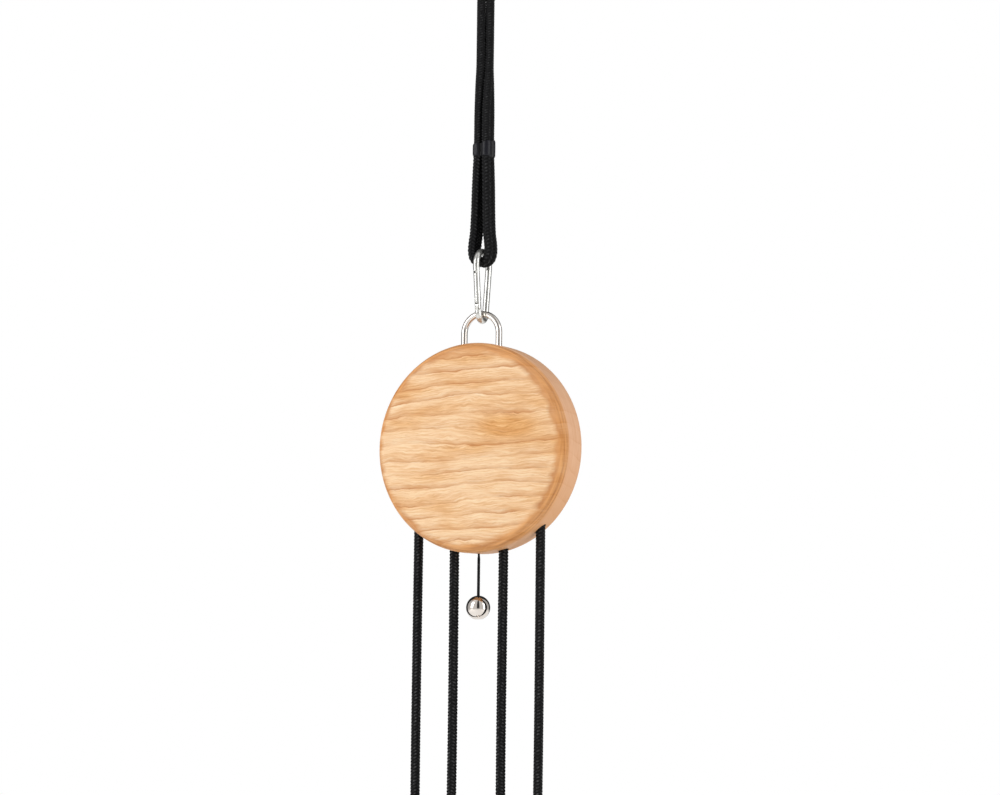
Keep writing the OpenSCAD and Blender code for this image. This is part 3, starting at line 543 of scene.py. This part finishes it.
class Paint(Nodes):
    """The nodes of one new material, on an object's own coordinates."""

    def __init__(self, name, **sets):
        self.material = bpy.data.materials.new(name)
        self.material.use_nodes = True
        super().__init__(self.material.node_tree)
        self.shader = self.tree.nodes["Principled BSDF"]
        self.set(self.shader, **sets)
        self.texture = self.new("TexCoord")

    def places(self, lengths, middle=(0, 0, 0)):
        """Object coordinates from a middle, divided by a length along each axis, all in metres."""
        node = self.new("Mapping")
        self.put(node.inputs["Vector"], self.texture.outputs["Object"])
        node.inputs["Scale"].default_value = [1 / n for n in lengths]
        node.inputs["Location"].default_value = [-c / n for c, n in zip(middle, lengths)]
        return node.outputs[0]

    def noise(self, vector, detail=2.0, roughness=0.5):
        node = self.new("TexNoise")
        self.set(node, Vector=vector, Scale=1.0, Detail=detail, Roughness=roughness)
        return node.outputs["Fac"]

    def mottle(self, x, y, z, detail):
        """Noise with a length in metres along each axis."""
        return self.noise(self.places((x, y, z)), detail)

    def attribute(self, name):
        node = self.new("Attribute")
        node.attribute_name = name
        return node.outputs["Fac"]

    def cover(self, tone, colours, roughness, tones=(0.3, 0.7), roughness_of=None, rough_at=0.7):
        """Goes from the first colour and roughness to the second as the tone rises."""
        greys = [(0.3, roughness[0]), (rough_at, roughness[1])]
        self.set(
            self.shader,
            Base_Color=self.ramp(tone, [(at, linear(*colour)) for at, colour in zip(tones, colours)]),
            Roughness=self.ramp(roughness_of or tone, greys),
        )

    def bump(self, height, distance, strength):
        node = self.new("Bump")
        self.set(node, Height=height, Distance=distance, Strength=strength)
        self.put(self.shader.inputs["Normal"], node.outputs[0])


BRAID_SHADE_GREYS = ((0.25, 3), (0.55, 16), (0.8, 49), (1, 83))  # from painted shade in a gap to a painted highlight on a strand's top


def rope_fibre(name, light):
    """Black braid with painted light: painted shade makes the gaps between strands nearly black, and
    painted highlights light the strands' tops.
    """
    paint = Paint(name, Specular_IOR_Level=0.12, Roughness=0.6)
    yarn = paint.mottle(0.0016, 0.0016, 0.0016, detail=3)
    lit = paint.math("MULTIPLY_ADD", yarn, 1.5, 0.1)
    # Painted shade in the gaps and painted highlights on the tops, brighter on some strands than on others
    tone = paint.math("MULTIPLY", paint.attribute("crown"), lit)
    greys = [(place, light * grey) for place, grey in BRAID_SHADE_GREYS]
    colour = paint.ramp(tone, [(place, linear(grey, grey, grey + 1)) for place, grey in greys])
    paint.set(paint.shader, Base_Color=colour)
    paint.bump(paint.mottle(0.0004, 0.0004, 0.0004, detail=3), 0.0002, 0.5)
    return paint.material


def plain_cord_fibre():
    """Black cord where its braid is too fine to model: the knob and the knot."""
    paint = Paint("cord_fibre", Specular_IOR_Level=0.12)
    yarn = paint.mottle(0.0005, 0.0005, 0.0008, detail=3)
    paint.cover(yarn, ((6, 6, 7), (34, 34, 36)), (0.45, 0.6))
    paint.bump(yarn, 0.0001, 0.6)
    return paint.material


def band_rubber():
    """Dark shrunk sleeve with faint streaks up it, with painted shade that makes it blackest where it sinks
    between the ropes.
    """
    paint = Paint("band_rubber", Specular_IOR_Level=0.22)
    streak = paint.mottle(0.0012, 0.0012, 0.016, detail=3)
    # Painted shade: darker where the skin sinks between the ropes
    raised = paint.math("MULTIPLY_ADD", paint.attribute("crown"), 0.8, 0.2)
    tone = paint.math("MULTIPLY", streak, raised)
    paint.cover(tone, ((4, 4, 7), (25, 25, 32)), (0.34, 0.5), tones=(0.2, 0.6), roughness_of=streak)
    paint.bump(streak, 0.0003, 0.4)
    return paint.material


def strap_weave():
    """Black webbing, with the fine yarn that the modelled ribs leave out."""
    paint = Paint("strap_weave", Sheen_Weight=0.2, Specular_IOR_Level=0.3)
    yarn = paint.mottle(0.0006, 0.0012, 0.0012, detail=3)
    paint.cover(yarn, ((16, 16, 18), (44, 44, 48)), (0.6, 0.8))
    paint.bump(yarn, 0.0002, 0.5)
    return paint.material


def metal(name, dark, bright, polish, rough, smear, grain=0.02, metallic=1.0):
    """Metal with a little smear in its polish, and a fine bump that breaks its reflections."""
    paint = Paint(name, Metallic=metallic)
    film = paint.mottle(*smear, detail=4)
    paint.cover(film, (dark, bright), (polish, rough), rough_at=0.75)
    paint.bump(paint.mottle(0.003, 0.003, 0.003, detail=2), 0.001, grain)
    return paint.material


def plastic(name, dark, light, roughness, grain):
    """Matt plastic, or leather, with a grain of its own size."""
    paint = Paint(name, Specular_IOR_Level=0.4)
    cloud = paint.mottle(0.006, 0.006, 0.006, detail=5)
    paint.cover(cloud, (dark, light), (roughness - 0.06, roughness + 0.06))
    paint.bump(paint.mottle(grain, grain, grain, detail=2), 0.0001, 0.4)
    return paint.material


RING_MM = 12.5  # height of one ring
RING_SHADES = [(0.0, 0.7), (0.03, 1.0), (0.10, 0.62), (0.22, 0.34), (0.42, 0.13), (0.7, 0.0), (0.985, 0.0)]
STREAKS_AT = 0.33, 0.47, 0.66  # where a streak is light, middle and dark
FIGURE_AT, FIGURE_HALF, FIGURE_RISE = (34, 17), (34, 13), 6  # the disc's golden figure, in millimetres
# Each wood's colours, light to dark, in 0 to 255 sRGB values
WOOD_PALE = (255, 227, 188), (252, 214, 170), (236, 186, 134)
WOOD_GOLD = (247, 198, 138), (233, 172, 104), (204, 138, 72)
WOOD_LINE, WOOD_PORE = (198, 128, 68), (186, 122, 68)
RIM_PALE, RIM_DEEP, RIM_LOW = (246, 198, 160), (232, 176, 132), (226, 166, 112)
# Painted shade on the disc's rounded edge, pale to deep; it reaches further in on the right, where the
# lamps light the edge less
EDGE_SHADE_PALE, EDGE_SHADE_DEEP = (232, 164, 98), (186, 116, 58)


class WoodPaint(Paint):
    """Ring-porous wood. `axes` are those of the grain, of the rings, and of the board's depth."""

    def __init__(self, name, axes, middle):
        super().__init__(name, Specular_IOR_Level=0.25)
        self.axes, self.middle = axes, middle
        place = self.split(self.places((MM, MM, MM), middle))
        # Millimetres from the middle: a goes along the grain, c across the rings and t into the board
        self.a, self.c, self.t = (place[axis] for axis in axes)

    def field(self, a, c, t, **kw):
        """Noise with a length in metres along the grain, across the rings and into the board."""
        size = [0, 0, 0]
        for axis, length in zip(self.axes, (a, c, t)):
            size[axis] = length
        return self.noise(self.places(size, self.middle), **kw)

    def about(self, value, swing):
        """A noise output, from 0 to 1, moved to swing either side of 0."""
        return self.math("MULTIPLY_ADD", value, 2 * swing, -swing)

    def along_rings(self, height, a, c, t, **kw):
        """Noise that follows the rings' waves, with its lengths in millimetres."""
        node = self.new("CombineXYZ")
        for socket, value, size in zip(node.inputs, (self.a, height, self.t), (a, c, t)):
            self.put(socket, self.math("DIVIDE", value, size))
        return self.noise(node.outputs[0], **kw)

    def ring_height(self):
        """The rings' height, bent by slow swells, the waves of each ring and a fine tremor."""
        height = self.math("MULTIPLY_ADD", self.a, -0.045, self.c)
        height = self.math("MULTIPLY_ADD", self.t, 0.22, height)
        for lengths, swing in (
            ((0.10, 0.032, 0.08), 9), ((0.017, 0.008, 0.02), 2.3), ((0.006, 0.003, 0.008), 0.4)
        ):
            height = self.math("ADD", height, self.about(self.field(*lengths), swing))
        return height

    def figure(self):
        """The disc's golden figure: 1 in its middle, and falling off to 0."""
        far_a, far_c = (
            self.math("DIVIDE", self.math("SUBTRACT", value, at), half)
            for value, at, half in zip((self.a, self.c), FIGURE_AT, FIGURE_HALF)
        )
        far = self.math("MULTIPLY_ADD", far_a, far_a, self.math("MULTIPLY", far_c, far_c))
        return self.math("EXPONENT", self.math("MULTIPLY", far, -1.0))

    def ring_lines(self, height):
        """How dark the rings are: each darkens slowly downwards, then ends in a sharp dark line."""
        ring = self.math("FRACT", self.math("DIVIDE", height, RING_MM))
        bold = self.ramp(self.field(0.05, 0.012, 0.03, detail=3), [(0.36, 0.15), (0.60, 1.0)])
        return self.math("MULTIPLY", self.ramp(ring, RING_SHADES), bold)

    def board(self, dark, golden, streak, pores):
        """The colour of the sawn face: pale and golden wood, its dark lines and its pores."""
        pale, gold = (
            self.ramp(streak, [(at, linear(*colour)) for at, colour in zip(STREAKS_AT, colours)])
            for colours in (WOOD_PALE, WOOD_GOLD)
        )
        face = self.mix(self.math("MULTIPLY", dark, 0.85), self.mix(golden, pale, gold), linear(*WOOD_LINE))
        speck = self.math("MULTIPLY", pores, self.math("MULTIPLY_ADD", dark, 0.35, 0.18))
        return self.mix(speck, face, linear(*WOOD_PORE))

    def edge_shade_reach(self):
        """How much of the painted shade on the rounded edge shows, further in on the right and uneven."""
        squares = self.math("MULTIPLY_ADD", self.a, self.a, self.math("MULTIPLY", self.c, self.c))
        out = self.math("SQRT", squares)
        out = self.math("MULTIPLY_ADD", self.a, 0.035, out)
        out = self.math("ADD", out, self.about(self.field(0.02, 0.008, 0.03, detail=4), 6))
        out = self.math("MULTIPLY_ADD", out, 0.05, -3.5)  # 0 at 70 mm from the middle, 1 at 90 mm
        return self.ramp(out, [(0.46, 0.0), (0.6, 0.5), (0.7, 1.0)])

    def rim(self, curl, dark):
        """The colour of the disc's rim, in bands round it and darker at its foot."""
        rim = self.mix(self.ramp(curl, [(0.3, 0.0), (0.7, 1.0)]), linear(*RIM_PALE), linear(*RIM_DEEP))
        low = self.ramp(self.math("MULTIPLY_ADD", self.c, 0.006, 0.5), [(0.15, 0.85), (0.45, 0.0)])
        rim = self.mix(low, rim, linear(*RIM_LOW))
        return self.mix(self.math("MULTIPLY", dark, 0.2), rim, linear(*WOOD_LINE))

    def shaped(self, colour, dark):
        """The face's colour, with painted shade on the disc's rounded edge and the rim's colour put over
        it.
        """
        curl = self.field(0.03, 0.03, 0.0011, detail=4)
        curled = self.ramp(curl, [(0.35, 0.0), (0.65, 1.0)])
        # Painted shade for the rounded edge, made uneven by the curl noise
        rounded = self.mix(curled, linear(*EDGE_SHADE_PALE), linear(*EDGE_SHADE_DEEP))
        colour = self.mix(self.math("MULTIPLY", self.edge_shade_reach(), 0.8), colour, rounded)
        depth = self.split(self.texture.outputs["Normal"])[self.axes[2]]
        sideways = self.ramp(self.math("MULTIPLY", depth, depth), [(0.04, 1.0), (0.22, 0.0)])
        return self.mix(sideways, colour, self.rim(curl, dark))


def wood(name, axes, middle, disc=False):
    """Oiled wood. A disc gets a golden figure, painted shade on its rounded edge, and a rim of its own
    colour.
    """
    paint = WoodPaint(name, axes, middle)
    height = paint.ring_height()
    golden = paint.ramp(paint.field(0.07, 0.016, 0.05, detail=4), [(0.44, 0.0), (0.68, 0.85)])
    if disc:
        figure = paint.figure()
        height = paint.math("MULTIPLY_ADD", figure, FIGURE_RISE, height)
        golden = paint.math("MAXIMUM", golden, paint.math("MULTIPLY", figure, 1.3))
    dark = paint.ring_lines(height)
    streak = paint.along_rings(height, 20, 1.0, 9, detail=4, roughness=0.65)
    pores = paint.ramp(paint.along_rings(height, 6, 0.5, 3, detail=1), [(0.60, 0.0), (0.74, 1.0)])
    colour = paint.board(dark, golden, streak, pores)
    if disc:
        colour = paint.shaped(colour, dark)
    paint.set(paint.shader, Base_Color=colour, Roughness=paint.math("MULTIPLY_ADD", dark, 0.10, 0.45))
    paint.bump(paint.math("MULTIPLY_ADD", pores, -0.6, paint.math("MULTIPLY", streak, 0.3)), 0.0001, 0.3)
    return paint.material


X, Y, Z = 0, 1, 2

SLING_FIBRE = rope_fibre("sling_fibre", 0.72)
CORD_FIBRE = plain_cord_fibre()
LOOKS = {  # by the record's material slots
    "oak": wood("oiled_oak", (X, Z, Y), (0, 0, DISC_Z), disc=True),
    "grip_wood": wood("oiled_grip", (Y, Z, X), (0, 0, HANDLE_Z)),
    "zinc_steel": metal(
        "zinc_steel", (196, 195, 191), (222, 222, 218), 0.12, 0.2, (0.012, 0.012, 0.02), metallic=0.8
    ),
    "polished_steel": metal(
        "polished_steel", (206, 198, 190), (232, 226, 220), 0.06, 0.12, (0.02, 0.02, 0.03), 0.006
    ),
    "sheave_nylon": plastic("sheave_nylon", (196, 194, 186), (220, 218, 210), 0.45, 0.0008),
    "cage_brass": metal("cage_brass", (190, 150, 70), (222, 184, 104), 0.25, 0.4, (0.006, 0.006, 0.006)),
    "sleeve_plastic": plastic("sleeve_plastic", (22, 22, 24), (40, 40, 42), 0.42, 0.0006),
    "brake_leather": plastic("brake_leather", (96, 60, 34), (134, 88, 54), 0.75, 0.0011),
    "braided_rope": rope_fibre("rope_fibre", 1.0),
    "rope_band": band_rubber(),
    "webbing": strap_weave(),
}


def dress(piece, material):
    piece.data.materials.clear()
    piece.data.materials.append(material)


def fibre_of(piece):
    """The sling's braid is darker than the rope's, and knots are plain."""
    if piece.name.startswith("braided_sling"):
        return SLING_FIBRE
    return LOOKS["braided_rope"] if piece.name.startswith("braided") else CORD_FIBRE


for part in frame["record"]["subparts"]:
    dress(frame["nodes"][part["node"]], LOOKS[part["material_slot"]])
for piece in ROPES:
    dress(piece, fibre_of(piece))
for slot, pieces in (("zinc_steel", [SPRING]), ("rope_band", BANDS), ("webbing", STRAPS)):
    for piece in pieces:
        dress(piece, LOOKS[slot])


# ---- Floor, background and light ----

FLOOR_Z = -1.1  # below a handle at the end of its travel
FLOOR_HALF = 1.6
FLOOR_LIFT = 0.42  # light of its own that the floor shows to the camera, to come up to white
FLOOR_COLOUR = (244, 244, 243)
AMBIENT = 0.5  # how bright the surroundings are to surfaces without a shine
WHITE = (1, 1, 1, 1)

# How bright the studio looks in metal, from straight at the camera, 0, to straight behind, 1
STUDIO_PANELS = [
    (0.0, 0.05), (0.06, 0.06), (0.085, 0.8), (0.24, 0.75), (0.29, 1.0), (0.44, 1.0), (0.49, 0.6),
    (0.68, 0.45), (0.72, 0.03), (1.0, 0.03),
]
STUDIO_LOW = 0.8  # how bright it looks below the horizon
STUDIO_HORIZON = [(0.38, 0.0), (0.47, 1.0)]  # from straight down, 0, to straight up, 1

# Lamps round the disc: degrees round and up from in front of it, metres wide and high, watts
LAMP_DISTANCE = 2.4
LAMPS = {"key": (-37, 20, 0.8, 2.2, 32), "fill": (87, 10, 0.7, 2.2, 21)}


def seen_rays(paint):
    """1 for the rays that show a thing to the camera, in a mirror or through glass, otherwise 0."""
    path = paint.new("LightPath")
    total = path.outputs["Is Camera Ray"]
    for name in ("Is Glossy Ray", "Is Transmission Ray"):
        total = paint.math("ADD", total, path.outputs[name], clamp=True)
    return total


def make_floor():
    corners = [(-1, -1), (1, -1), (1, 1), (-1, 1)]
    corners = [(x * FLOOR_HALF, y * FLOOR_HALF, FLOOR_Z) for x, y in corners]
    floor = new_piece("floor", corners, [(0, 1, 2, 3)])
    paint = Paint("pale_floor", Roughness=0.9, Specular_IOR_Level=0.1, Base_Color=linear(*FLOOR_COLOUR))
    lift = paint.math("MULTIPLY", seen_rays(paint), FLOOR_LIFT)
    paint.set(paint.shader, Emission_Color=WHITE, Emission_Strength=lift)
    dress(floor, paint.material)


def make_world():
    """Even light for surfaces, white to the camera, and a studio of pale and dark panels in metal."""
    world = bpy.data.worlds.new("studio")
    bpy.context.scene.world = world
    world.use_nodes = True
    sky = Nodes(world.node_tree)
    x, y, z = sky.split(sky.new("TexCoord").outputs["Generated"])
    heading = sky.math("ARCTAN2", x, sky.math("MULTIPLY", y, -1.0))
    aside = sky.math("SUBTRACT", heading, math.radians(CAMERA_AZIMUTH))
    aside = sky.math("ABSOLUTE", sky.math("ARCTAN2", sky.math("SINE", aside), sky.math("COSINE", aside)))
    panels = sky.ramp(sky.math("DIVIDE", aside, math.pi), STUDIO_PANELS)
    upward = sky.ramp(sky.math("ADD", sky.math("MULTIPLY", z, 0.5), 0.5), STUDIO_HORIZON)
    studio = sky.mix(upward, (STUDIO_LOW, STUDIO_LOW, STUDIO_LOW, 1), panels)
    path = sky.new("LightPath")
    surface = sky.mix(path.outputs["Is Glossy Ray"], (AMBIENT, AMBIENT, AMBIENT, 1), studio)
    shown = sky.math("MAXIMUM", path.outputs["Is Camera Ray"], path.outputs["Is Transmission Ray"])
    sky.set(sky.tree.nodes["Background"], Color=sky.mix(shown, surface, WHITE))


def make_lamp(name, azimuth, elevation, width, height, watts):
    """An upright lamp that faces the disc."""
    lamp = bpy.data.lights.new(name, "AREA")
    lamp.shape, lamp.energy = "RECTANGLE", watts
    lamp.size, lamp.size_y = width, height
    light = bpy.data.objects.new(name, lamp)
    bpy.context.collection.objects.link(light)
    way = round_object(azimuth, elevation)
    light.location = Vector((0, 0, DISC_Z)) + LAMP_DISTANCE * way
    light.rotation_mode = "QUATERNION"
    light.rotation_quaternion = way.to_track_quat("Z", "Y")


make_floor()
make_world()
for name, values in LAMPS.items():
    make_lamp(name, *values)

bpy.context.scene.view_settings.view_transform = "Standard"
